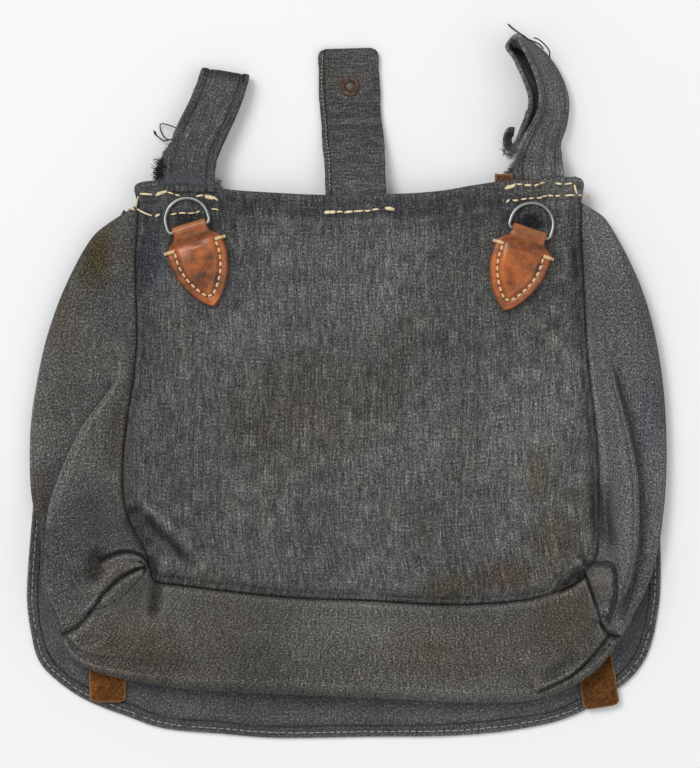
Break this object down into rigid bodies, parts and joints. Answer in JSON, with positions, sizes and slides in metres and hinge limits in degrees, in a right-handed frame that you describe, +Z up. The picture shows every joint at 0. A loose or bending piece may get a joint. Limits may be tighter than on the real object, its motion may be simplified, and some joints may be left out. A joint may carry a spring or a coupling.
{
  "type": "haversack",
  "caption": "Soft cloth haversack lying on its front, flap folded under, with folded side gussets, belt loops, a riveted centre tab and D-rings in leather chapes.",
  "frame": {"origin": "on the surface the bag lies on, under the middle of its outline", "axes": "+Y towards the mouth and straps, +X to the right seen from above, +Z up out of the surface"},
  "size_m": [0.3604, 0.3974, 0.0294],
  "materials": {
    "cloth": "worn grey woollen weave",
    "chape_leather": "polished tan, creased",
    "strap_leather": "dark brown suede",
    "steel": "dull, lightly rusted"
  },
  "bodies": {
    "bag": {"back_panel": "cloth", "front_panel": "cloth", "left_gusset": "cloth", "right_gusset": "cloth", "base_gusset": "cloth", "flap": "cloth", "flap_hem": "cloth", "centre_tab": "cloth", "left_belt_loop": "cloth", "right_belt_loop": "cloth", "left_chape": "chape_leather", "right_chape": "chape_leather", "left_closing_strap": "strap_leather", "right_closing_strap": "strap_leather", "backing_patch": "strap_leather", "tab_rivet": "steel"},
    "left_ring": {"left_ring": "steel"},
    "right_ring": {"right_ring": "steel"}
  },
  "joints": [
    {"name": "left_ring_swing", "type": "hinge", "parent": "bag", "child": "left_ring", "pos_m": [-0.08796, 0.08816, 0.0181], "axis": [0.9563, 0.2924, 0], "range_deg": [0, 150]},
    {"name": "right_ring_swing", "type": "hinge", "parent": "bag", "child": "right_ring", "pos_m": [0.10231, 0.08552, 0.01809], "axis": [0.9511, -0.309, 0], "range_deg": [0, 150]}
  ]
}
